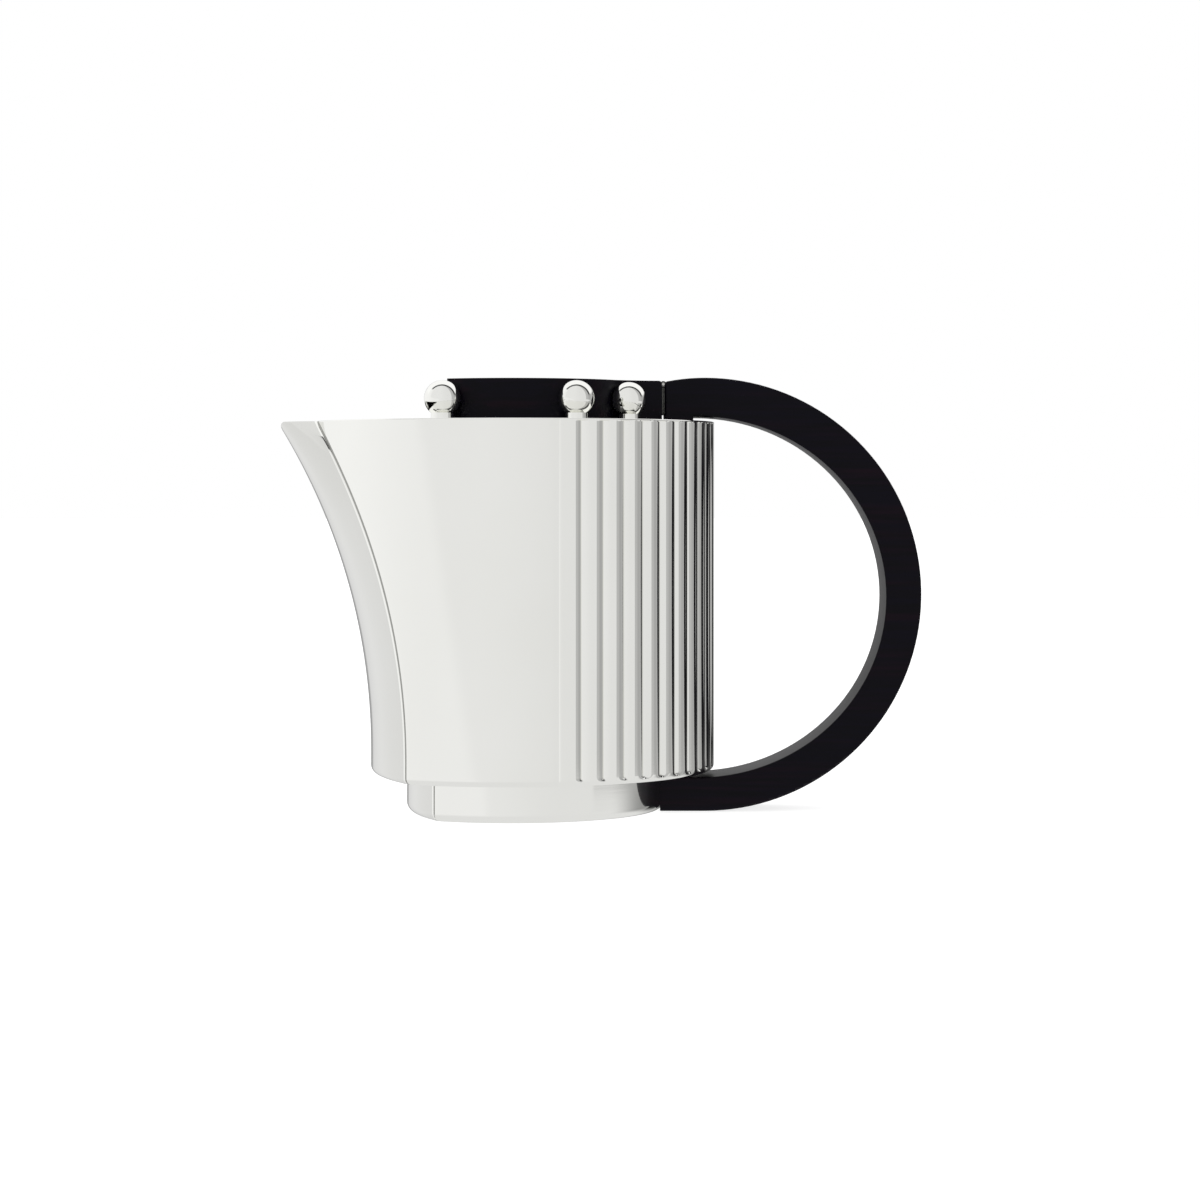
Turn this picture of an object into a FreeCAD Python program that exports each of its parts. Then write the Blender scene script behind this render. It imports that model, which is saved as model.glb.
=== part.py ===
import FreeCAD, Part
import math
import os
from FreeCAD import Vector

os.makedirs("parts", exist_ok=True)

# A lidded silver cream jug with an ebony handle and an ebony lid grip.
# Millimetres, +Z up.  The origin is on the table, on the axis of the round
# body.  The spout points along -X and the handle along +X.  The jug is the
# same on both sides of the XZ plane.

# ---- body -------------------------------------------------------------
body_radius = 42.0          # outside of the round wall
body_wall_thickness = 1.5
foot_height = 8.3           # underside of the body above the table
rim_height = 80.9
edge_round = 1.3            # lower outer edge of the wall
base_thickness = 1.5        # bottom plate, let in flush between the walls

# ---- spout front: a shallow curved sheet that flares out to the lip ----
front_setback = 12.2        # front stands this far inside the round at its foot
front_bulge = 9.3           # depth of the front ahead of its two creases
flare_run = 19.8            # how far the lip leans out over the foot of the sheet
flare_start = 12.8          # height where the flare leaves the vertical
lip_round = 1.2             # rounded top corner of the lip
front_sections = 10

# ---- reeds round the back of the body ---------------------------------
reed_count = 23
reed_start_angle = 13.8     # degrees from -Y towards +X
reed_depth = 0.75
reed_end_step = 0.12        # the first and last reeds start nearly flush
reed_low_margin = 1.4       # plain band under the reeds
reed_high_margin = 0.9      # plain band over the reeds

# ---- foot -------------------------------------------------------------
foot_scale = 0.75           # plan of the foot against the plan of the body
foot_thickness = 2.6
foot_edge_round = 1.8

# ---- deck, lid seat and lid -------------------------------------------
hinge_inset = 10.8          # hinge axis, along Y, inside the back of the body
joint_gap = 0.6             # gap between lid side and handle side
lid_thickness = 1.2
lid_side_clearance = 0.4
lid_seat_clearance = 0.15   # air between the closed lid and its seat
lid_front = 19.0            # front edge of the lid ahead of the body axis
seat_width = 2.5
seat_thickness = 1.2
seat_lead = 0.4             # front ends of the seat ahead of the lid's edge
flange_height = 3.0
flange_thickness = 1.0
flange_clearance = 0.6      # between flange and seat, for the swing
flange_end_inset = 1.6

# ---- grip and balls ---------------------------------------------------
grip_radius = 24.6
grip_front = 13.0
grip_height = 8.45
neck_root_inset = 3.6       # where the neck leaves the round of the grip
neck_waist_swell = 1.9      # half width of the neck's waist over the handle's
grip_end_round = 0.7        # top edge next to the hinge
ball_radius = 3.7
ball_names = ["front", "middle", "rear"]
ball_inset = 0.4            # front and middle balls inside the grip's widest line
front_ball_lead = 0.8       # ahead of the grip's flat front
middle_ball_x = 13.3
rear_ball_lead = 0.6        # ahead of the neck's waist
rear_ball_out = 3.0         # outside the neck's waist
ball_socket_clearance = 0.05
ball_stud_radius = 1.0
ball_collar_radius = 2.3    # collar that holds the ball off the lid
ball_lift = 0.6
nut_across_flats = 3.6
nut_height = 1.2

# ---- handle -----------------------------------------------------------
handle_width = 16.0
handle_rise = 0.65          # crown of the handle over the grip
handle_base_gap = 0.1       # handle's lowest line above the table
handle_band = 7.35          # thickness of the band at its back
handle_centre_inset = 2.2   # centre of the outer half circle inside the body's back
handle_bore_inset = 3.6     # centre of the inner ellipse inside the body's back
handle_pad_inset = 4.6      # end of the pad on the deck inside the body's back
handle_top_gap = 1.0        # light between the rim and the handle
handle_low_gap = 1.2        # from the body down to the handle's lower run
handle_end_round = 0.65     # top edge next to the hinge
handle_end_drop = 0.72      # fall of the top line towards the hinge
handle_edge_round = 0.6

# ---- hinge ------------------------------------------------------------
hinge_length = 13.0
knuckle_count = 5
knuckle_radius = 0.65
knuckle_gap = 0.15
pin_radius = 0.3
pin_clearance = 0.05
leaf_thickness = 0.6
leaf_height = 6.2
groove_clearance = 0.2
hinge_screw_radius = 0.6
hinge_screw_head_radius = 1.1
hinge_screw_head_height = 0.45
hinge_screw_length = 5.0
hinge_screw_y = 1.6
hinge_screw_drop = 3.4      # screws below the hinge axis

# ---- wood screws and their plates -------------------------------------
handle_screw_radius = 1.25
handle_screw_head_radius = 2.1
handle_screw_head_height = 1.5
handle_screw_length = 9.0   # along the foot screws, past the foot wall
deck_screw_bite = 6.5       # of the deck screws, above the deck
handle_screw_y = 4.6
deck_plate_thickness = 1.0
foot_plate_thickness = 2.3
foot_plate_side_inset = 0.5
foot_plate_height = 4.6
foot_screw_drop = 3.9       # foot screws below the body
grip_screw_radius = 1.0
grip_screw_head_radius = 1.9
grip_screw_head_height = 1.1
grip_screw_length = 6.0
grip_screw_front_inset = 7.0
grip_screw_side = 12.0
grip_screw_neck_inset = 1.0
same_place = 1e-4           # two measures this close are taken as equal

# ---- derived values ---------------------------------------------------
inner_radius = body_radius - body_wall_thickness
base_top = foot_height + base_thickness
foot_radius = body_radius * foot_scale
front_reach = body_radius - front_setback
flare_rise = rim_height - flare_start
flare_radius = (flare_rise ** 2 + flare_run ** 2) / (2 * flare_run)
grip_top = rim_height + grip_height
hinge_x = body_radius - hinge_inset
hinge_z = grip_top - knuckle_radius
deck_front_x = hinge_x + joint_gap / 2
lid_rear_x = hinge_x - joint_gap / 2
lid_radius = inner_radius - lid_side_clearance
lid_bottom = rim_height - lid_thickness
seat_top = lid_bottom - lid_seat_clearance
seat_bottom = seat_top - seat_thickness
seat_inner_radius = inner_radius - seat_width
seat_front = lid_front + seat_lead
flange_radius = seat_inner_radius - flange_clearance
deck_plate_bottom = seat_top - deck_plate_thickness
deck_screw_x = (deck_front_x + seat_inner_radius) / 2
handle_half = handle_width / 2
handle_top = grip_top + handle_rise
handle_radius = (handle_top - handle_base_gap) / 2
handle_centre_x = body_radius - handle_centre_inset
handle_centre_z = handle_base_gap + handle_radius
handle_bore_x = body_radius - handle_bore_inset
handle_bore_high = rim_height + handle_top_gap
handle_bore_low = foot_height - handle_low_gap
handle_bore_z = (handle_bore_high + handle_bore_low) / 2
handle_bore_half_height = (handle_bore_high - handle_bore_low) / 2
handle_bore_end_x = handle_centre_x + handle_radius - handle_band
handle_bore_half_length = handle_bore_end_x - handle_bore_x
handle_pad_end_x = body_radius - handle_pad_inset
neck_root_x = grip_radius - neck_root_inset
neck_root_half = math.sqrt(grip_radius ** 2 - neck_root_x ** 2)
neck_waist_x = grip_radius
neck_waist_half = handle_half + neck_waist_swell
ball_out = grip_radius - ball_inset
ball_places = [
    (-grip_front - front_ball_lead, ball_out),
    (middle_ball_x, ball_out),
    (neck_waist_x - rear_ball_lead, neck_waist_half + rear_ball_out),
]
grip_screw_x = grip_screw_front_inset - grip_front
grip_screw_places = [
    (grip_screw_x, grip_screw_side),
    (grip_screw_x, -grip_screw_side),
    (neck_root_x - grip_screw_neck_inset, 0.0),
]
deck_plate_half_width = handle_half
foot_plate_half_width = handle_half - foot_plate_side_inset
foot_plate_x = foot_radius - foot_thickness - foot_plate_thickness
foot_screw_z = foot_height - foot_screw_drop


def save(name, shape):
    """Write one node, as one closed solid or a group of them."""
    shape.exportStep("parts/" + name + ".step")


def box(x0, x1, y0, y1, z0, z1):
    corner = Vector(x0, y0, z0)
    return Part.makeBox(x1 - x0, y1 - y0, z1 - z0, corner)


def upright(radius, z0, z1, x=0.0, y=0.0):
    return Part.makeCylinder(radius, z1 - z0, Vector(x, y, z0))


def along_x(radius, x0, x1, y, z):
    return Part.makeCylinder(radius, x1 - x0, Vector(x0, y, z), Vector(1, 0, 0))


def along_y(radius, y0, y1, x, z):
    return Part.makeCylinder(radius, y1 - y0, Vector(x, y0, z), Vector(0, 1, 0))


def prism_along_y(points, half_width):
    """A solid with a straight-sided XZ outline, between -Y and +Y."""
    corners = [Vector(x, -half_width, z) for x, z in points]
    wire = Part.makePolygon(corners + corners[:1])
    return Part.Face(wire).extrude(Vector(0, 2 * half_width, 0))


def flare(height):
    """Front centre line: its distance ahead of the body axis."""
    rise = max(height - flare_start, 0.0)
    return front_reach + flare_radius - math.sqrt(flare_radius ** 2 - rise ** 2)


def front_section(height, inset, tail):
    """Plan of the spout front at one height, closed behind its creases."""
    tip = -flare(height)
    crease = tip + front_bulge
    half = math.sqrt(body_radius ** 2 - crease ** 2)
    radius = (half ** 2 + front_bulge ** 2) / (2 * front_bulge)
    centre = tip + radius
    arc_radius = radius - inset
    half_width = math.sqrt(arc_radius ** 2 - (crease - centre) ** 2)
    left = Vector(crease, -half_width, height)
    right = Vector(crease, half_width, height)
    nose = Vector(centre - arc_radius, 0, height)
    corners = [right, left]
    if tail > 0:
        back_right = Vector(crease + tail, half_width, height)
        back_left = Vector(crease + tail, -half_width, height)
        corners = [right, back_right, back_left, left]
    edges = [Part.Arc(left, nose, right).toShape()]
    edges += [Part.makeLine(start, end) for start, end in zip(corners, corners[1:])]
    return Part.Wire(edges)


def section_heights():
    """Heights from the foot of the body to its rim, closer near the rim."""
    tall = rim_height - foot_height
    steps = range(front_sections + 1)
    turn = math.pi / (2 * front_sections)
    return [foot_height + tall * math.sin(step * turn) for step in steps]


def front_block(inset, tail):
    wires = [front_section(height, inset, tail) for height in section_heights()]
    return Part.makeLoft(wires, True, False)


def crease_curtain():
    """Everything ahead of the two creases, to part front from wall."""
    wires = []
    for height in section_heights():
        crease = front_bulge - flare(height)
        corners = [
            Vector(crease, -body_radius, height),
            Vector(crease, body_radius, height),
            Vector(crease - 2 * body_radius, body_radius, height),
            Vector(crease - 2 * body_radius, -body_radius, height),
        ]
        wires.append(Part.makePolygon(corners + corners[:1]))
    return Part.makeLoft(wires, True, False)


def polar(radius, angle, height):
    """A point by its angle in degrees from -Y towards +X."""
    turn = math.radians(angle)
    return Vector(radius * math.sin(turn), -radius * math.cos(turn), height)


def reed_cutter():
    """The metal taken away between the crests of the reeds."""
    low = foot_height + reed_low_margin
    high = rim_height - reed_high_margin
    last_angle = 180.0 - reed_start_angle
    pitch = (last_angle - reed_start_angle) / reed_count
    valley = body_radius - reed_depth
    outside = body_radius + reed_depth
    edges = []
    hollows = [body_radius - reed_end_step]
    hollows += [valley] * (reed_count - 1)
    hollows += [body_radius - reed_end_step]
    for reed in range(reed_count):
        start = reed_start_angle + reed * pitch
        first = polar(hollows[reed], start, low)
        crest = polar(body_radius, start + pitch / 2, low)
        last = polar(hollows[reed + 1], start + pitch, low)
        edges.append(Part.Arc(first, crest, last).toShape())
    far_end = polar(outside, last_angle, low)
    near_end = polar(outside, reed_start_angle, low)
    edges.append(Part.makeLine(polar(hollows[-1], last_angle, low), far_end))
    edges.append(Part.Arc(far_end, polar(outside, 90, low), near_end).toShape())
    edges.append(Part.makeLine(near_end, polar(hollows[0], reed_start_angle, low)))
    face = Part.Face(Part.Wire(edges))
    return face.extrude(Vector(0, 0, high - low))


def lip_cutter():
    """Rounds the top corner of the lip in side view."""
    lean = math.asin((rim_height - flare_start) / flare_radius)
    centre_z = rim_height - lip_round
    centre_x = lip_round / math.cos(lean) - flare(centre_z)
    touch_x = centre_x - lip_round * math.cos(lean)
    touch_z = centre_z - lip_round * math.sin(lean)
    far_x = touch_x - 3 * lip_round
    over = rim_height + lip_round
    outline = [
        (centre_x, centre_z),
        (centre_x, over),
        (far_x, over),
        (far_x, touch_z),
        (touch_x, touch_z),
    ]
    wedge = prism_along_y(outline, body_radius)
    return wedge.cut(along_y(lip_round, -body_radius, body_radius, centre_x, centre_z))


def rounding_ring(radius, size, bottom, x=0.0):
    """Cuts a rounded lower edge on an upright cylinder."""
    outside = radius + size
    top = bottom + size
    turn = math.pi / 4
    middle = Vector(x + radius - size + size * math.sin(turn), 0, top - size * math.cos(turn))
    edge_low = Vector(x + radius - size, 0, bottom)
    edge_high = Vector(x + radius, 0, top)
    corners = [edge_high, Vector(x + outside, 0, top), Vector(x + outside, 0, bottom), edge_low]
    edges = [Part.Arc(edge_low, middle, edge_high).toShape()]
    edges += [Part.makeLine(start, end) for start, end in zip(corners, corners[1:])]
    face = Part.Face(Part.Wire(edges))
    return face.revolve(Vector(x, 0, 0), Vector(0, 0, 1), 360)


def front_plan_radius(scale):
    """Radius of the spout front's arc in plan at the bottom of the body."""
    crease = (front_reach - front_bulge) * scale
    half_squared = (body_radius * scale) ** 2 - crease ** 2
    bulge = front_bulge * scale
    return (half_squared + bulge ** 2) / (2 * bulge)


# ---- body: round wall and spout front, soldered at the creases -----------
def jug_plan(scale, inset, z0, z1):
    """The plan of the jug's lower part: a disc cut in front by a shallow arc."""
    arc_radius = front_plan_radius(scale)
    arc_centre = arc_radius - front_reach * scale
    return upright(body_radius * scale - inset, z0, z1).common(
        upright(arc_radius - inset, z0, z1, arc_centre))


def jug_rounding(scale, size, bottom):
    """Cutters for the rounded lower edge of a jug_plan solid."""
    arc_radius = front_plan_radius(scale)
    arc_centre = arc_radius - front_reach * scale
    return [
        rounding_ring(body_radius * scale, size, bottom),
        rounding_ring(arc_radius, size, bottom, arc_centre),
    ]


def cut_all(shape, tools):
    for tool in tools:
        shape = shape.cut(tool)
    return shape


channel = front_block(body_wall_thickness, 12.0)
wall = upright(body_radius, foot_height, rim_height)
wall = wall.cut(upright(inner_radius, foot_height, rim_height))
wall = cut_all(wall, [crease_curtain(), channel, reed_cutter()])
save("body_wall", cut_all(wall, jug_rounding(1.0, edge_round, foot_height)))

front = front_block(0.0, 0.0).cut(channel)
front = cut_all(front, jug_rounding(1.0, edge_round, foot_height))
save("spout_front", front.cut(lip_cutter()))
save("body_base", jug_plan(1.0, body_wall_thickness, foot_height, base_top))

# ---- foot: the body's plan made smaller, open underneath ----------------
room = 3 * body_radius
foot = jug_plan(foot_scale, 0.0, 0.0, foot_height)
foot = cut_all(foot, jug_rounding(foot_scale, foot_edge_round, 0.0))
foot = foot.cut(jug_plan(foot_scale, foot_thickness, 0.0, foot_height))
foot_screws = []
screw_front_x = foot_plate_x - handle_screw_head_height
for side in (-1, 1):
    y = side * handle_screw_y
    screw_end_x = foot_radius + handle_screw_length
    shank = along_x(handle_screw_radius, foot_plate_x, screw_end_x, y, foot_screw_z)
    head = along_x(handle_screw_head_radius, screw_front_x, foot_plate_x, y, foot_screw_z)
    foot = foot.cut(shank)
    foot_screws.append(shank.fuse(head).removeSplitter())
save("foot_ring", foot)
save("foot_screws", Part.makeCompound(foot_screws))

foot_plate = box(foot_plate_x, foot_radius, -foot_plate_half_width, foot_plate_half_width,
                 foot_screw_z - foot_plate_height / 2, foot_screw_z + foot_plate_height / 2)
foot_plate = foot_plate.common(jug_plan(foot_scale, foot_thickness, 0.0, foot_height))
for screw in foot_screws:
    foot_plate = foot_plate.cut(screw)
save("foot_plate", foot_plate)

# ---- lid seat: a ledge soldered inside the rim ---------------------------
seat = upright(inner_radius, seat_bottom, seat_top)
seat = seat.cut(upright(seat_inner_radius, seat_bottom, seat_top))
seat = seat.cut(box(-room, -seat_front, -room, room, seat_bottom, seat_top))
save("lid_seat", seat)

# ---- fixed deck behind the hinge, with the plate that stiffens it --------
deck = upright(inner_radius, seat_top, rim_height)
deck = deck.cut(box(-room, deck_front_x, -room, room, seat_top, rim_height))
deck_plate = box(deck_front_x, room, -deck_plate_half_width, deck_plate_half_width,
                 deck_plate_bottom, seat_top)
deck_plate = deck_plate.common(upright(seat_inner_radius, deck_plate_bottom, seat_top))
deck_screws = []
head_bottom = deck_plate_bottom - handle_screw_head_height
shank_top = rim_height + deck_screw_bite
for side in (-1, 1):
    y = side * handle_screw_y
    shank = upright(handle_screw_radius, deck_plate_bottom, shank_top, deck_screw_x, y)
    head = upright(handle_screw_head_radius, head_bottom, deck_plate_bottom, deck_screw_x, y)
    deck = deck.cut(shank)
    deck_plate = deck_plate.cut(shank)
    deck_screws.append(shank.fuse(head).removeSplitter())
save("rear_deck", deck)
save("deck_plate", deck_plate)
save("deck_screws", Part.makeCompound(deck_screws))


# ---- hinge: two leaves let into the end grain, knuckles and a pin --------
def knuckle_span(index):
    length = (hinge_length - (knuckle_count - 1) * knuckle_gap) / knuckle_count
    start = -hinge_length / 2 + index * (length + knuckle_gap)
    return start, start + length


def hinge_leaf(side, first_knuckle, bore):
    """A leaf and its knuckles; side is -1 on the lid and +1 on the handle."""
    near = hinge_x + side * joint_gap / 2
    far = near + side * leaf_thickness
    left = min(near, far)
    leaf = box(left, left + leaf_thickness, -hinge_length / 2, hinge_length / 2,
               hinge_z - leaf_height, hinge_z)
    for index in range(knuckle_count):
        start, end = knuckle_span(index)
        if index % 2 == first_knuckle:
            leaf = leaf.fuse(along_y(knuckle_radius, start, end, hinge_x, hinge_z))
        else:
            room_radius = knuckle_radius + groove_clearance
            groove = along_y(room_radius, start - knuckle_gap, end + knuckle_gap, hinge_x, hinge_z)
            leaf = leaf.cut(groove)
    return leaf.cut(along_y(bore, -hinge_length, hinge_length, hinge_x, hinge_z)).removeSplitter()


def hinge_screws(side):
    """Two countersunk screws, their heads flush with the leaf."""
    screws = []
    direction = Vector(side, 0, 0)
    for place in (-hinge_screw_y, hinge_screw_y):
        start = Vector(hinge_x + side * joint_gap / 2, place, hinge_z - hinge_screw_drop)
        head = Part.makeCone(hinge_screw_head_radius, hinge_screw_radius,
                             hinge_screw_head_height, start, direction)
        shank = Part.makeCylinder(hinge_screw_radius, hinge_screw_length, start, direction)
        screws.append(head.fuse(shank).removeSplitter())
    return screws


def hinge_pocket(side):
    """Room cut in the wood for a leaf and for the barrel."""
    near = hinge_x + side * joint_gap / 2
    far = near + side * leaf_thickness
    start = min(near, far)
    half = hinge_length / 2
    pocket = box(start, start + leaf_thickness, -half, half, hinge_z - leaf_height, hinge_z)
    barrel_room = along_y(knuckle_radius + groove_clearance, -half - knuckle_gap,
                          half + knuckle_gap, hinge_x, hinge_z)
    over = box(hinge_x - knuckle_radius - groove_clearance,
               hinge_x + knuckle_radius + groove_clearance,
               -half - knuckle_gap, half + knuckle_gap, hinge_z, hinge_z + grip_height)
    return pocket.fuse(barrel_room).fuse(over)


lid_hinge_screws = hinge_screws(-1)
handle_hinge_screws = hinge_screws(1)
save("hinge_leaf_lid", cut_all(hinge_leaf(-1, 1, pin_radius + pin_clearance), lid_hinge_screws))
save("hinge_leaf_handle", cut_all(hinge_leaf(1, 0, pin_radius), handle_hinge_screws))
save("hinge_screws_lid", Part.makeCompound(lid_hinge_screws))
save("hinge_screws_handle", Part.makeCompound(handle_hinge_screws))
save("hinge_pin", along_y(pin_radius, -hinge_length / 2, hinge_length / 2, hinge_x, hinge_z))


# ---- handle: one ebony band, flat on the deck and scribed to the foot ----
def handle_outline():
    """The band in side view, running on past the foot wall at the bottom."""
    shoulder_z = handle_top - handle_end_drop
    slant = handle_end_round * (1 - math.sqrt(0.5))
    end_low = Vector(deck_front_x, 0, shoulder_z - handle_end_round)
    end_middle = Vector(deck_front_x + slant, 0, shoulder_z - slant)
    shoulder = Vector(deck_front_x + handle_end_round, 0, shoulder_z)
    crown = Vector(handle_centre_x, 0, handle_top)
    ease_x = (2 * shoulder.x + crown.x) / 3
    ease = Vector(ease_x, 0, handle_top - handle_end_drop * 4 / 9)
    right = Vector(handle_centre_x + handle_radius, 0, handle_centre_z)
    keel = Vector(handle_centre_x, 0, handle_base_gap)
    path = [
        Vector(handle_bore_x, 0, handle_bore_high),
        Vector(handle_pad_end_x, 0, handle_bore_high),
        Vector(handle_pad_end_x, 0, rim_height),
        Vector(deck_front_x, 0, rim_height),
        end_low,
    ]
    tail = [
        keel,
        Vector(foot_radius / 2, 0, handle_base_gap),
        Vector(foot_radius / 2, 0, handle_bore_low),
        Vector(handle_bore_x, 0, handle_bore_low),
    ]
    bore_centre = Vector(handle_bore_x, 0, handle_bore_z)
    long_end = bore_centre + Vector(handle_bore_half_length, 0, 0)
    short_end = bore_centre + Vector(0, 0, handle_bore_half_height)
    bore = Part.Ellipse(long_end, short_end, bore_centre)
    edges = [Part.makeLine(start, end) for start, end in zip(path, path[1:])]
    edges.append(Part.Arc(end_low, end_middle, shoulder).toShape())
    edges.append(Part.Arc(shoulder, ease, crown).toShape())
    edges.append(Part.Arc(crown, right, keel).toShape())
    edges += [Part.makeLine(start, end) for start, end in zip(tail, tail[1:])]
    edges.append(Part.ArcOfEllipse(bore, -math.pi / 2, math.pi / 2).toShape())
    return Part.Face(Part.Wire(edges))


def flat_side_edges(shape, half_width, skip_before_x):
    """Edges lying in either flat side, right of a given X."""
    chosen = []
    for edge in shape.Edges:
        span = edge.BoundBox
        level = span.YMax - span.YMin < same_place
        in_side = abs(abs(span.YMin) - half_width) < same_place
        if level and in_side and span.XMax > skip_before_x:
            chosen.append(edge)
    return chosen


handle = handle_outline().extrude(Vector(0, handle_width, 0))
handle.translate(Vector(0, -handle_half, 0))
handle = handle.makeFillet(handle_edge_round, flat_side_edges(handle, handle_half, foot_radius))
handle = handle.cut(upright(foot_radius, 0, foot_height))
handle = cut_all(handle, deck_screws + foot_screws + handle_hinge_screws + [hinge_pocket(1)])
save("handle", handle)

# ---- lid plate, locating flange under it, ebony grip ---------------------
lid_outline = box(-lid_front, lid_rear_x, -room, room, lid_bottom, rim_height)
lid = upright(lid_radius, lid_bottom, rim_height).common(lid_outline)
flange_low = lid_bottom - flange_height
flange_frame = []
for inset in (0.0, flange_thickness):
    ends = flange_end_inset + inset
    disc = upright(flange_radius - inset, flange_low, lid_bottom)
    block = box(ends - lid_front, lid_rear_x - ends, -room, room, flange_low, lid_bottom)
    flange_frame.append(disc.common(block))
save("lid_flange", flange_frame[0].cut(flange_frame[1]))


def neck_side(side):
    """The waisted flank of the neck, from the round grip to the hinge."""
    root = Vector(neck_root_x, side * neck_root_half, rim_height)
    waist = Vector(neck_waist_x, side * neck_waist_half, rim_height)
    end = Vector(lid_rear_x, side * handle_half, rim_height)
    return Part.Arc(root, waist, end).toShape(), root, end


near_flank, near_root, near_end = neck_side(-1)
far_flank, far_root, far_end = neck_side(1)
near_start = Vector(0, near_root.y, rim_height)
far_start = Vector(0, far_root.y, rim_height)
neck_edges = [
    Part.makeLine(near_start, near_root),
    near_flank,
    Part.makeLine(near_end, far_end),
    far_flank,
    Part.makeLine(far_root, far_start),
    Part.makeLine(far_start, near_start),
]
neck = Part.Face(Part.Wire(neck_edges)).extrude(Vector(0, 0, grip_height))
grip = upright(grip_radius, rim_height, grip_top)
grip = grip.common(box(-grip_front, room, -room, room, rim_height, grip_top))
grip = grip.fuse(neck).removeSplitter()
end_edges = []
for edge in grip.Edges:
    span = edge.BoundBox
    on_top = abs(span.ZMin - grip_top) < same_place
    if on_top and span.XMin > lid_rear_x - same_place:
        end_edges.append(edge)
grip = grip.makeFillet(grip_end_round, end_edges)
grip = grip.cut(hinge_pocket(-1))

grip_screws = []
grip_head_bottom = lid_bottom - grip_screw_head_height
for x, y in grip_screw_places:
    shank = upright(grip_screw_radius, lid_bottom, rim_height + grip_screw_length, x, y)
    head = upright(grip_screw_head_radius, grip_head_bottom, lid_bottom, x, y)
    lid = lid.cut(shank)
    grip_screws.append(shank.fuse(head).removeSplitter())
grip = cut_all(grip, grip_screws + lid_hinge_screws)
save("grip_screws", Part.makeCompound(grip_screws))

# ---- six silver balls, each on a stud nutted under the lid ----------------
ball_nuts = []
stud_bottom = lid_bottom - nut_height - ball_stud_radius / 2
ball_z = rim_height + ball_lift + ball_radius
for place, (x, y_out) in zip(ball_names, ball_places):
    for hand, side in (("near", -1), ("far", 1)):
        y = side * y_out
        centre = Vector(x, y, ball_z)
        stud = upright(ball_stud_radius, stud_bottom, ball_z, x, y)
        collar = upright(ball_collar_radius, rim_height, ball_z, x, y)
        ball = Part.makeSphere(ball_radius, centre).fuse(collar).fuse(stud)
        save("ball_" + place + "_" + hand, ball.removeSplitter())
        lid = lid.cut(stud)
        grip = grip.cut(Part.makeSphere(ball_radius + ball_socket_clearance, centre))
        grip = grip.cut(collar).cut(stud)
        corner_radius = nut_across_flats / math.sqrt(3)
        corners = []
        for corner in range(7):
            turn = corner * math.pi / 3
            offset = Vector(corner_radius * math.cos(turn), corner_radius * math.sin(turn), 0)
            corners.append(Vector(x, y, lid_bottom - nut_height) + offset)
        nut = Part.Face(Part.makePolygon(corners)).extrude(Vector(0, 0, nut_height))
        ball_nuts.append(nut.cut(stud))
save("ball_nuts", Part.makeCompound(ball_nuts))
save("grip", grip)
save("lid_plate", lid)
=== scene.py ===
import math

import bmesh
import bpy
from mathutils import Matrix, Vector


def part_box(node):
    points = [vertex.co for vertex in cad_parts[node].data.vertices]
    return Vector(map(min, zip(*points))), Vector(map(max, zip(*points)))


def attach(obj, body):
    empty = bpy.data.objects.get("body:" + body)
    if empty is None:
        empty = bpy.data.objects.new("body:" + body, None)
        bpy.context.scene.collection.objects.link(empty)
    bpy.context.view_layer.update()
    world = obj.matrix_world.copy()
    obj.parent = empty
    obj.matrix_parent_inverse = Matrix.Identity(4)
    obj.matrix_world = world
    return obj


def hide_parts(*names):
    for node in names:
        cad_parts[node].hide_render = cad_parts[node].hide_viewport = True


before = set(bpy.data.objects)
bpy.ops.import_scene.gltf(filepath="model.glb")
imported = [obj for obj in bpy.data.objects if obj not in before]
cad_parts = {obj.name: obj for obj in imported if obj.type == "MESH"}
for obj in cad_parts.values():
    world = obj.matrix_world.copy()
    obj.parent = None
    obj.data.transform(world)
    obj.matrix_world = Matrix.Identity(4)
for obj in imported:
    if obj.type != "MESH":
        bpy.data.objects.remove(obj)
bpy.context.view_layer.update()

# A lidded silver cream jug with an ebony handle, an ebony grip and six silver balls on its lid.
# Metres, +Z up.  The spout points along -X, the handle along +X, and -Y is the near side.

MM = 0.001
COLLECTION = bpy.context.scene.collection


# ---- sizes, read off the frame ------------------------------------------------------------
def low(node):
    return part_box(node)[0]


def high(node):
    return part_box(node)[1]


BODY_RADIUS = high("body_wall").y
BODY_BOTTOM = low("body_wall").z
RIM = high("body_wall").z
WALL = BODY_RADIUS - high("body_base").y
FOOT_SCALE = high("foot_ring").y / BODY_RADIUS
FOOT_WALL = 2.6 * MM
FOOT_ROUND = 1.8 * MM
FOOT_TOP_ROUND = 0.05 * MM
FOOT_FINE = 1.0 * MM                        # stretch at both ends with closer rows
BODY_ROUND = 1.3 * MM
BODY_FINE = 3.2 * MM
RIM_ROUND = 0.22 * MM

FRONT_BULGE = 9.3 * MM                      # depth of the front sheet ahead of its creases
FRONT_FOOT = 29.8 * MM                      # from the axis to the foot of the front
FLARE_START = 12.8 * MM
FLARE_RUN = 19.8 * MM
FLARE_RISE = RIM - FLARE_START
FLARE_RADIUS = (FLARE_RISE ** 2 + FLARE_RUN ** 2) / (2 * FLARE_RUN)
LIP_ROUND = 1.2 * MM

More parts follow.
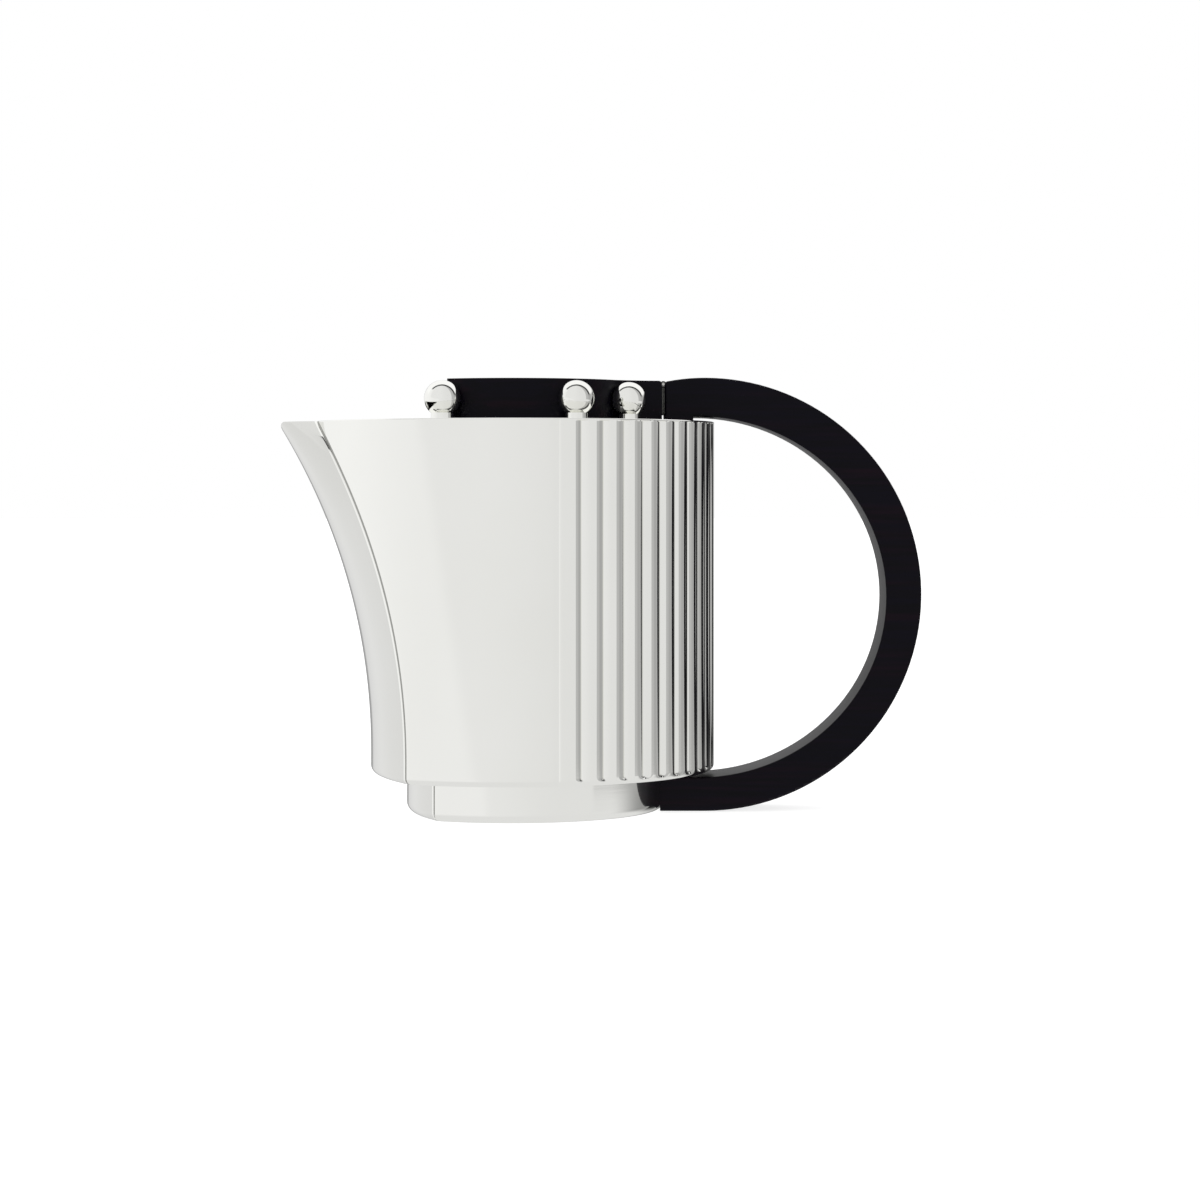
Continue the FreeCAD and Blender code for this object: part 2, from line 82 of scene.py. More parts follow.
REEDS = 23
REED_START = math.radians(13.8)             # from -Y towards +X
REED_DEPTH = 0.75 * MM
REED_LOW = BODY_BOTTOM + 0.5 * MM
REED_HIGH = RIM - 0.30 * MM
REED_LOW_END = 0.8 * MM                     # length of a groove's rounded ends
REED_HIGH_END = 0.15 * MM
REED_NOTCH = 0.18 * MM                      # the line at the outer reeds' free sides
NOTCH_WIDTH = 0.05                          # counted in reeds
NOTCH_RAMP = 0.8 * MM                       # length of its gentle side, on the plain wall
NOTCH_SHARES = (0.0, 0.2, 0.45, 0.7)        # columns across the notch
REED_PITCH = (math.pi - 2 * REED_START) / REEDS
REED_HALF = BODY_RADIUS * REED_PITCH / 2
REED_STEPS = 14                             # columns in a reed
PLAIN_STEPS = 46                            # columns from crease to first reed
BESIDE_NOTCH = 0.9995                       # share of the plain stretch, just short of the notch
FRONT_STEPS = 61                            # columns of the front between its rounded edges

BALL_RADIUS = (high("ball_front_near") - low("ball_front_near")).x / 2
BALL_COLLAR = 2.3 * MM
BALL_STUD = 1.0 * MM
BALL_EASE = 0.1 * MM                        # edges of the collar and the stud
BALL_STEPS = 40
BALL_TURNS = 72

# the slit between grip and handle, either side of the pin
HINGE_TOP = low("hinge_pin").z - 0.5 * MM
HINGE_LEFT = high("grip").x
HINGE_RIGHT = low("hinge_pin").x + high("hinge_pin").x - HINGE_LEFT
HINGE_MIDDLE = (HINGE_LEFT + HINGE_RIGHT) / 2
HINGE_SIDE_GAP = 0.01 * MM
HINGE_MIDDLE_GAP = 0.02 * MM
HINGE_EASE = 0.04 * MM

HANDLE_EASE = 0.30 * MM
GRIP_EASE = 0.45 * MM
LID_EASE = 0.12 * MM


# ---- shader helpers ---------------------------------------------------------------------------
class Signal:
    """A number's socket in a node tree; + - * / and the like add Math nodes."""

    def __init__(self, shop, socket):
        self.shop = shop
        self.socket = socket

    def math(self, operation, *values):
        return Signal(self.shop, self.shop.node(
            "ShaderNodeMath", {"operation": operation}, dict(enumerate(values))).outputs[0])

    def __add__(self, other):
        return self.math("ADD", self, other)

    def __sub__(self, other):
        return self.math("SUBTRACT", self, other)

    def __rsub__(self, other):
        return self.math("SUBTRACT", other, self)

    def __mul__(self, other):
        return self.math("MULTIPLY", self, other)

    def __truediv__(self, other):
        return self.math("DIVIDE", self, other)

    def __rtruediv__(self, other):
        return self.math("DIVIDE", other, self)

    __radd__ = __add__
    __rmul__ = __mul__

    def larger(self, other):
        return self.math("MAXIMUM", self, other)

    def smaller(self, other):
        return self.math("MINIMUM", self, other)

    def clamp(self):
        return self.larger(0.0).smaller(1.0)

    def absolute(self):
        return self.math("ABSOLUTE", self)

    def step(self, start, end):
        """0 before start, 1 after end, smooth between them."""
        t = ((self - start) / (end - start)).clamp()
        return t * t * (3.0 - 2.0 * t)

    def band(self, centre, half, soft):
        """1 within half of centre, fading out over soft."""
        return 1.0 - (self - centre).absolute().step(half, half + soft)


class Shop:
    """Builds one node tree."""

    def __init__(self, tree):
        self.tree = tree
        tree.nodes.clear()

    def node(self, kind, settings=None, values=None):
        made = self.tree.nodes.new(kind)
        for key, value in (settings or {}).items():
            setattr(made, key, value)
        for key, value in (values or {}).items():
            if isinstance(value, Signal):
                value = value.socket
            if isinstance(value, bpy.types.NodeSocket):
                self.tree.links.new(value, made.inputs[key])
            else:
                made.inputs[key].default_value = value
        return made

    def mix_colour(self, factor, first, second, blend="MIX"):
        made = self.node("ShaderNodeMix", {"data_type": "RGBA", "blend_type": blend}, {0: factor})
        for index, colour in ((6, first), (7, second)):
            if isinstance(colour, bpy.types.NodeSocket):
                self.tree.links.new(colour, made.inputs[index])
            else:
                made.inputs[index].default_value = (*colour, 1.0)
        return made.outputs[2]

    def place(self, scale):
        """Object coordinates, scaled along each axis."""
        coords = self.node("ShaderNodeTexCoord").outputs["Object"]
        return self.node("ShaderNodeMapping", None, {"Vector": coords, "Scale": scale}).outputs[0]

    def noise(self, vector, scale, detail=2.0, roughness=0.5):
        made = self.node("ShaderNodeTexNoise", None, {
            "Vector": vector, "Scale": scale, "Detail": detail, "Roughness": roughness})
        return Signal(self, made.outputs["Fac"])

    def bump(self, height, strength, distance):
        return self.node("ShaderNodeBump", None, {
            "Height": height, "Strength": strength, "Distance": distance}).outputs[0]


def material(name):
    made = bpy.data.materials.new(name)
    made.use_nodes = True
    return made, Shop(made.node_tree)


def finish_shader(shop, values):
    shader = shop.node("ShaderNodeBsdfPrincipled", None, values)
    shop.node("ShaderNodeOutputMaterial", None, {"Surface": shader.outputs[0]})


def polished_silver(name, haze=0.0, tone=1.0):
    """Hand-polished silver: a very faint warm cloud and hairlines from the buffing wheel."""
    made, shop = material(name)
    cloud = shop.noise(shop.place((1, 1, 1)), 38.0, 3.0)
    hairs = shop.noise(shop.place((9, 9, 220)), 14.0, 2.0)
    # tone below 1 darkens the whole colour: painted shade, used for the front sheet
    pale = [tone * part for part in (0.955, 0.955, 0.925)]
    deep = [tone * part for part in (0.935, 0.935, 0.900)]
    colour = shop.mix_colour(cloud.step(0.3, 0.8), pale, deep)
    finish_shader(shop, {
        "Base Color": colour,
        "Metallic": 1.0,
        "Roughness": 0.035 + haze + cloud * 0.02 + hairs * 0.015,
        "Normal": shop.bump(hairs, 0.012, 0.00004)})
    return made


def brushed_steel(name):
    """Turned steel of the screws, nuts and pin, with rings from the lathe."""
    made, shop = material(name)
    rings = shop.noise(shop.place((300, 300, 40)), 12.0, 3.0)
    colour = shop.mix_colour(rings, (0.62, 0.61, 0.59), (0.50, 0.49, 0.48))
    finish_shader(shop, {
        "Base Color": colour,
        "Metallic": 1.0,
        "Roughness": 0.22 + rings * 0.12,
        "Normal": shop.bump(rings, 0.15, 0.00002)})
    return made


def darkened_and_painted_shade_silver(name, deep, pale):
    """Dark silver: the hinge's darkened silver, and the solder seams' grooves darkened as painted shade
    along the creases.
    """
    made, shop = material(name)
    spots = shop.noise(shop.place((1, 1, 1)), 900.0, 3.0)
    colour = shop.mix_colour(spots, (deep, deep, deep * 0.95), (pale, pale, pale * 0.95))
    finish_shader(shop, {
        "Base Color": colour,
        "Metallic": 1.0,
        "Roughness": 0.30 + spots * 0.2})
    return made


def ebony(name):
    """Near-black wood, rubbed to a soft shine, with fine grain along X."""
    made, shop = material(name)
    grain = shop.noise(shop.place((22, 420, 420)), 3.2, 5.0, 0.6)
    streak = shop.noise(shop.place((7, 160, 160)), 2.4, 3.0)
    pores = shop.noise(shop.place((160, 1500, 1500)), 2.0, 2.0)
    base = shop.mix_colour(streak.step(0.45, 0.75), (0.0018, 0.0012, 0.0048), (0.0062, 0.0014, 0.0050))
    colour = shop.mix_colour(grain.step(0.35, 0.7), base, (0.0014, 0.0011, 0.0026))
    height = grain * 0.6 - pores.step(0.62, 0.72) * 0.5
    finish_shader(shop, {
        "Base Color": colour,
        "Roughness": 0.30 + grain * 0.10,
        "Specular IOR Level": 0.09,
        "Normal": shop.bump(height, 0.10, 0.00005)})
    return made


SILVER = polished_silver("polished silver")
# the front sheet: the same polish, its colour darkened as painted shade for the darker reflection it
# shows
SILVER_FRONT_PAINTED_SHADE = polished_silver("front sheet's silver, painted shade", 0.01, 0.755)
SILVER_INSIDE = polished_silver("silver inside, softer polish", 0.10)
STEEL = brushed_steel("turned steel")
# the seams' groove floors: darkened silver as painted shade along the creases
SEAM_PAINTED_SHADE = darkened_and_painted_shade_silver("seam's painted shade", 0.32, 0.46)
HINGE = darkened_and_painted_shade_silver("darkened hinge silver", 0.09, 0.20)
EBONY = ebony("ebony")


# ---- mesh helpers -----------------------------------------------------------------------------
SAME_PLACE = 1e-7
SHARP_ANGLE = math.radians(32)


def finish_mesh(name, mesh, body, nodes, materials):
    """Makes the piece: clean, outward, smooth but for its sharp edges."""
    bmesh.ops.remove_doubles(mesh, verts=mesh.verts, dist=SAME_PLACE)
    bmesh.ops.recalc_face_normals(mesh, faces=mesh.faces)
    for face in mesh.faces:
        face.smooth = True
    for edge in mesh.edges:
        edge.smooth = len(edge.link_faces) == 2 and edge.calc_face_angle(0.0) < SHARP_ANGLE
    data = bpy.data.meshes.new(name)
    mesh.to_mesh(data)
    mesh.free()
    piece = bpy.data.objects.new(name, data)
    COLLECTION.objects.link(piece)
    for finish in materials:
        data.materials.append(finish)
    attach(piece, body)
    if nodes:
        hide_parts(*nodes)


def fitted_sheet(columns, rows, place):
    """A grid whose vertex in column i and row j goes to place(i, j)."""
    mesh = bmesh.new()
    bmesh.ops.create_grid(mesh, x_segments=columns - 1, y_segments=rows - 1, size=0.5)
    for vertex in mesh.verts:
        column = round((vertex.co.x + 0.5) * (columns - 1))
        row = round((vertex.co.y + 0.5) * (rows - 1))
        vertex.co = place(column, row)
    return mesh


def spread(start, end, count):
    """count values from start up to, but without, end."""
    return [start + (end - start) * index / count for index in range(count)]


# ---- plan of the jug: a round wall and a shallow front that meet in two creases ------------------
def flare(height):
    rise = max(height - FLARE_START, 0.0)
    return FRONT_FOOT + FLARE_RADIUS - math.sqrt(FLARE_RADIUS ** 2 - rise ** 2)


class Plan:
    """The jug's plan at one height, drawn in by inset."""

    def __init__(self, height, inset, scale=1.0):
        reach = (flare(height) if scale == 1.0 else FRONT_FOOT) * scale
        bulge = FRONT_BULGE * scale
        outer = BODY_RADIUS * scale
        crease_x = bulge - reach
        half_squared = outer ** 2 - crease_x ** 2
        front = (half_squared + bulge ** 2) / (2 * bulge)
        self.centre = front - reach
        lean = (self.centre - 2 * crease_x) / (front + outer)
        self.round_radius = outer - inset
        self.front_radius = front - inset
        self.x = crease_x + inset * lean
        self.y = math.sqrt(self.round_radius ** 2 - self.x ** 2)
        self.start = math.asin(self.x / self.round_radius)
        self.half_turn = math.atan2(self.y, self.centre - self.x)

    def on_round(self, angle, sunk):
        radius = self.round_radius - sunk
        return radius * math.sin(angle), -radius * math.cos(angle)

    def on_front(self, angle):
        radius = self.front_radius
        return self.centre - radius * math.cos(angle), radius * math.sin(angle)


# Pairs in mm: distance from the crease as seen square on from the side, and how far the skin
# is sunk there.  SEAM_RISE widens the seam towards the rim.
ROUND_SEAM = [(0.0, 0.30), (0.20, 0.30), (0.42, 0.29), (0.44, 0.07), (0.50, 0.02), (0.58, 0.0)]
FRONT_SEAM = [(0.0, 0.30), (0.03, 0.25), (0.10, 0.18), (0.20, 0.11), (0.32, 0.05), (0.44, 0.01),
              (0.56, 0.0)]
SEAM_RISE = 0.45
SEAM_FLOOR = 0.43 * MM                      # width of the groove floor painted dark as shade, on the round wall's side


def seam_width(height):
    """Share of the seam's full width at a height."""
    return 1 - SEAM_RISE + SEAM_RISE * height / RIM


def quarter_round(radius, steps):
    """A corner's rounding, as pairs of distances from the corner's two sides."""
    turns = [math.pi / 2 * step / steps for step in range(steps + 1)]
    return [(radius * (1 - math.sin(turn)), radius * (1 - math.cos(turn))) for turn in turns]


def rounded_section(bottom, top, wall, low_round, top_round, heights):
    """Stations round a wall's section: (inset, height, skin), skin 1 outside and 0 inside."""
    stations = [(first, bottom + second, 1.0) for first, second in quarter_round(low_round, 8)]
    stations += [(0.0, height, 1.0) for height in heights]
    top_edge = quarter_round(top_round, 4)
    stations += [(second, top - first, 1.0) for first, second in top_edge]
    stations += [(wall - first, top - second, 0.0) for first, second in top_edge]
    stations += [(wall, height, 0.0) for height in reversed(heights)]
    stations.append((wall, bottom, 0.0))
    stations.append(stations[0])
    return stations


def reed_groove(across, height):
    """Depth of the grooves between the reeds; across is 0 at a crest and 1 in a valley."""
    past_low = (REED_LOW + REED_LOW_END - height) / REED_LOW_END
    past_high = (height - REED_HIGH + REED_HIGH_END) / REED_HIGH_END
    past = max(past_low, past_high, 0.0)
    from_valley = math.hypot(1 - abs(across), past) * REED_HALF
    distance = max(REED_HALF - from_valley, 0.0)
    radius = (REED_HALF ** 2 + REED_DEPTH ** 2) / (2 * REED_DEPTH)
    return radius - math.sqrt(radius ** 2 - distance ** 2)


def reed_depth(place, height):
    """Depth at a place counted in reeds; the outer reeds' free sides are almost flush."""
    outer = min(place, REEDS - place)
    if outer < 0.5:
        if not REED_LOW < height < REED_HIGH:
            return 0.0
        return REED_NOTCH * max(1 - outer / NOTCH_WIDTH, 0.0)
    return reed_groove(2 * (place % 1.0) - 1, height)


def round_columns():
    """Columns of the round wall from the near crease to the far one: (stretch, place, seam depth)."""
    edge = [("near", distance * MM, depth * MM) for distance, depth in ROUND_SEAM]
    shares = spread(1 / PLAIN_STEPS, 1.0, PLAIN_STEPS - 1) + [BESIDE_NOTCH]
    plain = [("plain", share, 0.0) for share in shares]
    places = [index / REED_STEPS for index in range(1, REEDS * REED_STEPS)]
    notch = [NOTCH_WIDTH * share for share in NOTCH_SHARES]
    places = notch + places + [REEDS - place for place in reversed(notch)]
    reeds = [("reed", place, 0.0) for place in places]
    far_plain = [("far plain", share, 0.0) for _, share, _ in reversed(plain)]
    far_edge = [("far", distance, depth) for _, distance, depth in reversed(edge)]
    return edge + plain + reeds + far_plain + far_edge


def round_wall(stations, columns, scale):
    """The round part of the body or foot, as a grid bent round the axis."""
    plans = [Plan(height, inset, scale) for inset, height, _ in stations]
    seam_end = ROUND_SEAM[-1][0] * MM

    def place(column, row):
        inset, height, skin = stations[row]
        plan = plans[row]
        kind, value, depth = columns[column]
        radius = plan.round_radius
        sunk = 0.0
        foreshortened = radius * math.cos(plan.start) / seam_width(height)
        first = plan.start + seam_end / foreshortened
        if kind == "near":
            angle = plan.start + value / foreshortened
        elif kind == "far":
            angle = math.pi - plan.start - value / foreshortened
        elif kind == "plain":
            angle = first + (REED_START - first) * value
        elif kind == "far plain":
            angle = math.pi - first - (REED_START - first) * value
        else:
            angle = REED_START + REED_PITCH * value
            if scale == 1.0:
                sunk = reed_depth(value, height) * skin
        if "plain" in kind and scale == 1.0 and REED_LOW < height < REED_HIGH:
            beyond = (REED_START - min(angle, math.pi - angle)) * radius
            sunk = REED_NOTCH * max(1 - beyond / NOTCH_RAMP, 0.0) * skin
        x, y = plan.on_round(angle, sunk)
        if kind in ("near", "far"):
            y -= math.copysign(depth * skin, y)
        return Vector((x, y, height))

    return fitted_sheet(len(columns), len(stations), place)


def section_heights(start, end, fine):
    """Even heights, closer together in the last stretch at both ends."""
    heights = spread(start, start + fine, 12)
    heights += spread(start + fine, end - fine, 34)
    heights += spread(end - fine, end - fine / 5, 7)
    heights += spread(end - fine / 5, end, 7)
    return heights[1:]


def front_wall(stations, scale, lip):
    """The front sheet, from crease to crease round the nose."""
    plans = [Plan(height, inset, scale) for inset, height, _ in stations]
    seam = [(distance * MM, depth * MM) for distance, depth in FRONT_SEAM]
    total = 2 * len(seam) + FRONT_STEPS

    def place(column, row):
        inset, height, skin = stations[row]
        plan = plans[row]
        radius = plan.front_radius
        foreshortened = radius * math.sin(plan.half_turn) / seam_width(height)
        side = 1 if column >= total / 2 else -1
        index = min(column, total - 1 - column)
        if index < len(seam):
            distance, depth = seam[index]
            angle = side * (plan.half_turn - distance / foreshortened)
        else:
            depth = 0.0
            widest = plan.half_turn - seam[-1][0] / foreshortened
            share = (column - len(seam) + 1) / (FRONT_STEPS + 1)
            angle = widest * (2 * share - 1)
        x, y = plan.on_front(angle)
        y -= math.copysign(depth * skin, y)
        if lip:
            x = max(x, lip_limit(height))
        return Vector((x, y, height))

    return fitted_sheet(total, len(stations), place)


def lip_limit(height):
    """The rounded top corner of the lip, in side view."""
    lean = math.asin(FLARE_RISE / FLARE_RADIUS)
    centre_z = RIM - LIP_ROUND
    centre_x = LIP_ROUND / math.cos(lean) - flare(centre_z)
    if height < centre_z - LIP_ROUND * math.sin(lean):
        return -1.0
    return centre_x - math.sqrt(max(LIP_ROUND ** 2 - (height - centre_z) ** 2, 0.0))


def triangulate_large(mesh):
    bmesh.ops.triangulate(mesh, faces=[face for face in mesh.faces if len(face.verts) > 4])


def close_ends(mesh):
    """Closes a sheet along the two creases, where it meets its neighbour."""
    bmesh.ops.remove_doubles(mesh, verts=mesh.verts, dist=SAME_PLACE)
    bmesh.ops.holes_fill(mesh, edges=[edge for edge in mesh.edges if edge.is_boundary], sides=0)
    triangulate_large(mesh)


def second_finish(mesh, chosen):
    """Gives the faces whose middle is chosen the piece's second material."""
    for face in mesh.faces:
        if chosen(face.calc_center_median()):
            face.material_index = 1


FRONT_EDGE_DEPTH = 0.8 * MM
FOOT_SEAM_DEPTH = 0.9 * MM


def from_axis(point):
    return math.hypot(point.x, point.y)


def beside_crease(point, scale):
    """On the rounded edge of the front sheet, which keeps the wall's silver without the front's painted
    shade.
    """
    plan = Plan(min(max(point.z, 0.0), RIM), 0.0, scale)
    width = FRONT_SEAM[-1][0] * MM * seam_width(point.z)
    outer = from_axis(point) > BODY_RADIUS * scale - FRONT_EDGE_DEPTH
    return outer and plan.x - point.x < width


def build_body():
    heights = section_heights(BODY_BOTTOM + BODY_ROUND, RIM - RIM_ROUND, BODY_FINE)
    stations = rounded_section(BODY_BOTTOM, RIM, WALL, BODY_ROUND, RIM_ROUND, heights)
    mesh = round_wall(stations, round_columns(), 1.0)
    close_ends(mesh)

    def in_seam(point):
        plan = Plan(min(max(point.z, BODY_BOTTOM), RIM), 0.0)
        radius = from_axis(point)
        angle = math.asin(max(min(point.x / radius, 1.0), -1.0))
        along = (angle - plan.start) * BODY_RADIUS * math.cos(plan.start)
        return along < SEAM_FLOOR * seam_width(point.z) and BODY_RADIUS - BODY_ROUND < radius

    # faces on the seam's groove floor get the seam's painted shade
    second_finish(mesh, in_seam)
    finish_mesh("round_wall", mesh, "jug", ["body_wall"], [SILVER, SEAM_PAINTED_SHADE])

    mesh = front_wall(stations, 1.0, True)
    close_ends(mesh)
    second_finish(mesh, lambda point: beside_crease(point, 1.0))
    finish_mesh("spout_sheet", mesh, "jug", ["spout_front"], [SILVER_FRONT_PAINTED_SHADE, SILVER])


def build_foot():
    bottom = low("foot_ring").z
    top = high("foot_ring").z
    heights = section_heights(bottom + FOOT_ROUND, top - FOOT_TOP_ROUND, FOOT_FINE)
    stations = rounded_section(bottom, top, FOOT_WALL, FOOT_ROUND, FOOT_TOP_ROUND, heights)
    mesh = round_wall(stations, round_columns(), FOOT_SCALE)
    close_ends(mesh)
    seam_end = Plan(0.0, 0.0, FOOT_SCALE).x + SEAM_FLOOR * seam_width(0.0)
    seam_back = BODY_RADIUS * FOOT_SCALE - FOOT_SEAM_DEPTH
    # the foot's seam faces get the same painted shade
    second_finish(mesh, lambda point: point.x < seam_end and from_axis(point) > seam_back)
    finish_mesh("foot_round", mesh, "jug", ["foot_ring"], [SILVER, SEAM_PAINTED_SHADE])

    mesh = front_wall(stations, FOOT_SCALE, False)
    close_ends(mesh)
    second_finish(mesh, lambda point: beside_crease(point, FOOT_SCALE))
    finish_mesh("foot_front", mesh, "jug", [], [SILVER_FRONT_PAINTED_SHADE, SILVER])


# ---- balls: turned with their studs in one piece --------------------------------------------------
def build_ball(node):
    bottom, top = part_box(node)
    centre = Vector(((bottom.x + top.x) / 2, (bottom.y + top.y) / 2, top.z - BALL_RADIUS))
    meet = math.asin(BALL_COLLAR / BALL_RADIUS)
    mesh = bmesh.new()
    profile = []
    for step in range(BALL_STEPS + 1):
        turn = (math.pi - meet) * step / BALL_STEPS
        profile.append((BALL_RADIUS * math.sin(turn), centre.z + BALL_RADIUS * math.cos(turn)))
    profile += [(BALL_COLLAR, RIM + BALL_EASE), (BALL_COLLAR - BALL_EASE, RIM), (BALL_STUD, RIM),
                (BALL_STUD, bottom.z + BALL_EASE), (BALL_STUD - BALL_EASE, bottom.z),
                (0.0, bottom.z)]
    points = [mesh.verts.new((centre.x + radius, centre.y, z)) for radius, z in profile]
    edges = [mesh.edges.new(pair) for pair in zip(points, points[1:])]
    bmesh.ops.spin(mesh, geom=points + edges, cent=centre, axis=(0, 0, 1), dvec=(0, 0, 0),
                   angle=2 * math.pi, steps=BALL_TURNS, use_merge=True)
    finish_mesh(node.replace("ball_", "silver_ball_"), mesh, "lid", [node], [SILVER])


# ---- hinge edges and the pieces that keep their shape from the frame -----------------------------
def round_edges(mesh, edges, width):
    bmesh.ops.bevel(mesh, geom=edges, offset=width, offset_type="OFFSET", segments=2,
                    profile=0.5, affect="EDGES", clamp_overlap=True, material=-1)


def build_hinge_edge(name, body, start, end):
    """The silver edge of a hinge leaf, closing half of the gap between the two woods."""
    leaf_low, leaf_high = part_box("hinge_leaf_lid")
    mesh = bmesh.new()
    bmesh.ops.create_cube(mesh, size=1.0)
    length = leaf_high.y - leaf_low.y
    for vertex in mesh.verts:
        vertex.co = Vector((start + (vertex.co.x + 0.5) * (end - start), vertex.co.y * length,
                            leaf_low.z + (vertex.co.z + 0.5) * (HINGE_TOP - leaf_low.z)))
    round_edges(mesh, mesh.edges[:], HINGE_EASE)
    finish_mesh(name, mesh, body, [], [HINGE])


FLAT_ANGLE = math.radians(0.6)
CORNER_ANGLE = math.radians(40)


def ease_node(node, name, body, finish, width):
    """A merged copy of a node with its corners rounded."""
    mesh = bmesh.new()
    mesh.from_mesh(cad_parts[node].data)
    bmesh.ops.remove_doubles(mesh, verts=mesh.verts, dist=2 * SAME_PLACE)
    bmesh.ops.dissolve_limit(mesh, angle_limit=FLAT_ANGLE, verts=mesh.verts, edges=mesh.edges,
                             use_dissolve_boundaries=False)
    corners = [edge for edge in mesh.edges
               if len(edge.link_faces) == 2 and edge.calc_face_angle(0.0) > CORNER_ANGLE]
    round_edges(mesh, corners, width)
    triangulate_large(mesh)
    finish_mesh(name, mesh, body, [node], [finish])


def dress_rest():
    """Finishes for the nodes that show their own mesh."""
    dressed = [
        (SILVER, ["rear_deck", "lid_flange"]),
        (SILVER_INSIDE, ["body_base", "lid_seat"]),
        (HINGE, ["hinge_leaf_handle", "hinge_leaf_lid"]),
        (STEEL, ["deck_plate", "deck_screws", "foot_plate", "foot_screws", "hinge_pin",
                 "hinge_screws_handle", "hinge_screws_lid", "grip_screws", "ball_nuts"]),
    ]
    for finish, nodes in dressed:
        for node in nodes:
            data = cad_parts[node].data
            data.materials.clear()
            data.materials.append(finish)


# ---- floor, studio and camera ------------------------------------------------------------------------
def build_floor():
    mesh = bmesh.new()
    bmesh.ops.create_circle(mesh, cap_ends=True, segments=96, radius=6.0)
    data = bpy.data.meshes.new("floor")
    mesh.to_mesh(data)
    mesh.free()
    floor = bpy.data.objects.new("floor", data)
    COLLECTION.objects.link(floor)
    made, shop = material("white paper sweep")
    tone = shop.noise(shop.place((1, 1, 1)), 60.0, 2.0)
    colour = shop.mix_colour(tone, (0.62, 0.62, 0.62), (0.59, 0.59, 0.59))
    finish_shader(shop, {
        "Base Color": colour, "Roughness": 0.9, "Specular IOR Level": 0.1,
        "Emission Color": (1.0, 1.0, 1.0, 1.0), "Emission Strength": 0.80})
    data.materials.append(made)
    floor.visible_glossy = False


def linear(level):
    """A display tone from 0 to 255 as light, over the silver's own reflectance."""
    return (level / 255) ** 2.2 / 0.955


def blend(first, second, share):
    return first + share * (second - first)


# the studio's tones, as the wall's silver shows them
LEFT = linear(234)
FAR_LEFT = linear(243)
BACK_LEFT = linear(211)
MIDDLE = linear(228)
MIDDLE_RIGHT = linear(222)
RIGHT = linear(180)
RIGHT_SIDE = linear(164)
RIGHT_BACK = linear(175)
LOW_RIGHT_BACK = linear(143)
FLAG = linear(20)
BEHIND = linear(158)
FLOOR_LIGHT = linear(221)
CEILING_BEHIND = 1.0
CEILING_GAP = 0.88                          # how much of the light the gap takes away


def studio_tone(across, up, from_front, sideways):
    """Light by direction, in degrees: across is 0 towards -Y and 90 towards +X, up is 0 at the
    horizon, and from_front is 0 towards -Y and 180 towards +Y."""
    # left: bright up to a slanted edge, then a shade deeper
    tone = blend(LEFT, FAR_LEFT, across.step(-45.0, -115.0))
    tone = blend(tone, BACK_LEFT, across.step(-146.0, -172.0))
    slant = -46.9 - 4.67 * up.larger(-6.0).smaller(6.0)
    middle_tone = blend(MIDDLE, MIDDLE_RIGHT, across.step(-20.0, 40.0))
    tone = blend(tone, middle_tone, (across - slant).step(-5.0, 5.0))
    # right: grey from eye level up, white again low down
    high_tone = blend(RIGHT, RIGHT_SIDE, across.step(75.0, 90.0))
    high_tone = high_tone + across.step(98.0, 112.0) * (RIGHT_BACK - RIGHT_SIDE)
    low_tone = blend(MIDDLE_RIGHT, LOW_RIGHT_BACK, across.step(80.0, 116.0))
    right_tone = blend(low_tone, high_tone, up.step(-5.68, -5.60))
    tone = blend(tone, right_tone, across.step(62.0, 66.0))
    # a black flag behind on the right
    flag = across.band(139.0, 9.0, 3.0) * up.step(20.0, 10.0)
    tone = blend(tone, FLAG, flag)
    # straight behind: darker, so outlines show as a thin line
    behind = from_front.step(161.0, 166.0) * up.step(12.0, 6.0) * across.step(0.0, -2.0)
    tone = blend(tone, BEHIND, behind)
    # the floor's light from below
    tone = blend(tone, FLOOR_LIGHT, up.step(-12.0, -36.0))
    # the ceiling: brighter behind, with a dark gap above the jug
    back_top = from_front.step(96.0, 100.0) * up.step(14.0, 24.0)
    tone = blend(tone, CEILING_BEHIND, back_top)
    gap = from_front.band(92.0, 5.5, 1.5) * up.step(10.0, 24.0) * sideways.step(-0.78, -0.68)
    return tone * (1.0 - gap * CEILING_GAP)


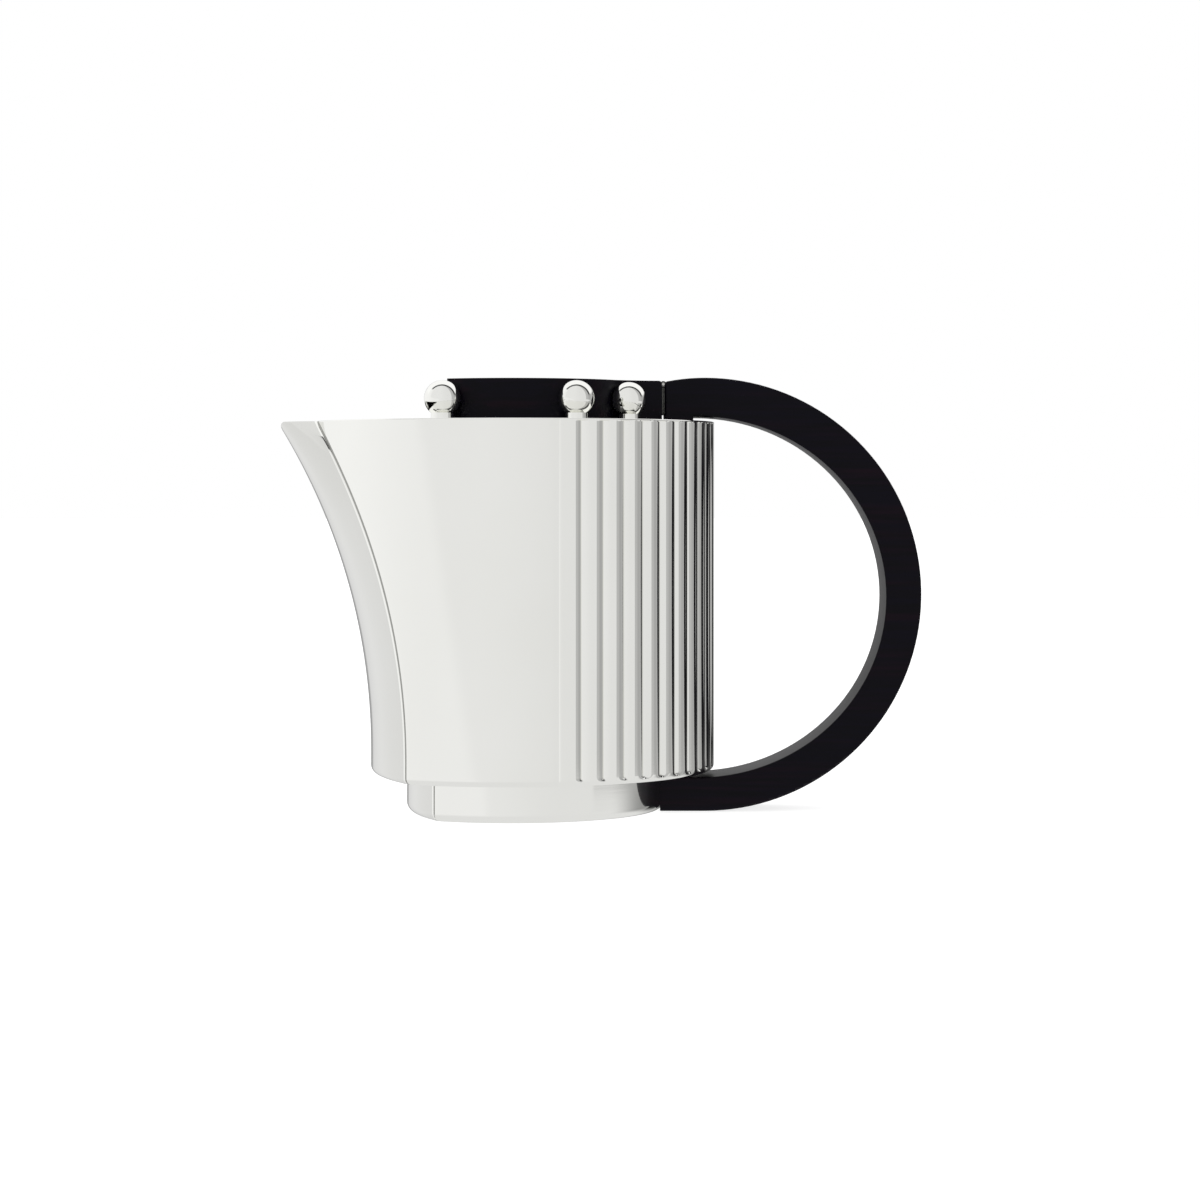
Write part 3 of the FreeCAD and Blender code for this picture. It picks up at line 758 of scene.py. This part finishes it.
def build_studio():
    """A white room with a darker side to the right and soft steps of tone elsewhere."""
    world = bpy.data.worlds.new("studio")
    bpy.context.scene.world = world
    world.use_nodes = True
    shop = Shop(world.node_tree)
    direction = shop.node("ShaderNodeTexCoord").outputs["Generated"]
    split = shop.node("ShaderNodeSeparateXYZ", None, {0: direction})
    x, y, z = (Signal(shop, split.outputs[index]) for index in range(3))
    degrees = 180 / math.pi
    across = x.math("ARCTAN2", x, 0.0 - y) * degrees
    up = x.math("ARCSINE", z) * degrees
    from_front = x.math("ARCCOSINE", 0.0 - y) * degrees
    tone = studio_tone(across, up, from_front, x)

    seen = shop.node("ShaderNodeLightPath").outputs["Is Camera Ray"]
    glow = shop.node("ShaderNodeCombineColor", None, {0: tone, 1: tone, 2: tone}).outputs[0]
    backdrop = shop.mix_colour(seen, glow, (1.0, 1.0, 1.0))
    light = shop.node("ShaderNodeBackground", None, {0: backdrop, 1: 1.0})
    shop.node("ShaderNodeOutputWorld", None, {0: light.outputs[0]})


CAMERA_PLACE = (17.85 * MM, -630 * MM, 67.1 * MM)
CAMERA_LENS = 90.0
CAMERA_SENSOR = 36.0
CAMERA_SHIFT = (0.0008, -0.0933)


def build_camera():
    """Level and straight on; the shift frames the whole jug."""
    data = bpy.data.cameras.new("camera")
    data.lens = CAMERA_LENS
    data.sensor_width = CAMERA_SENSOR
    data.shift_x, data.shift_y = CAMERA_SHIFT
    data.clip_start = 0.01
    camera = bpy.data.objects.new("camera", data)
    camera.location = CAMERA_PLACE
    camera.rotation_euler = (math.pi / 2, 0.0, 0.0)
    COLLECTION.objects.link(camera)
    bpy.context.scene.camera = camera


bpy.context.scene.view_settings.view_transform = "Standard"
build_body()
build_foot()
for place in ("front", "middle", "rear"):
    for hand in ("near", "far"):
        build_ball("ball_" + place + "_" + hand)
ease_node("handle", "ebony_handle", "jug", EBONY, HANDLE_EASE)
ease_node("grip", "ebony_grip", "lid", EBONY, GRIP_EASE)
build_hinge_edge("hinge_edge_lid", "lid",
                 HINGE_LEFT + HINGE_SIDE_GAP, HINGE_MIDDLE - HINGE_MIDDLE_GAP)
build_hinge_edge("hinge_edge_handle", "jug",
                 HINGE_MIDDLE + HINGE_MIDDLE_GAP, HINGE_RIGHT - HINGE_SIDE_GAP)
ease_node("lid_plate", "silver_lid", "lid", SILVER, LID_EASE)
dress_rest()
build_floor()
build_studio()
build_camera()
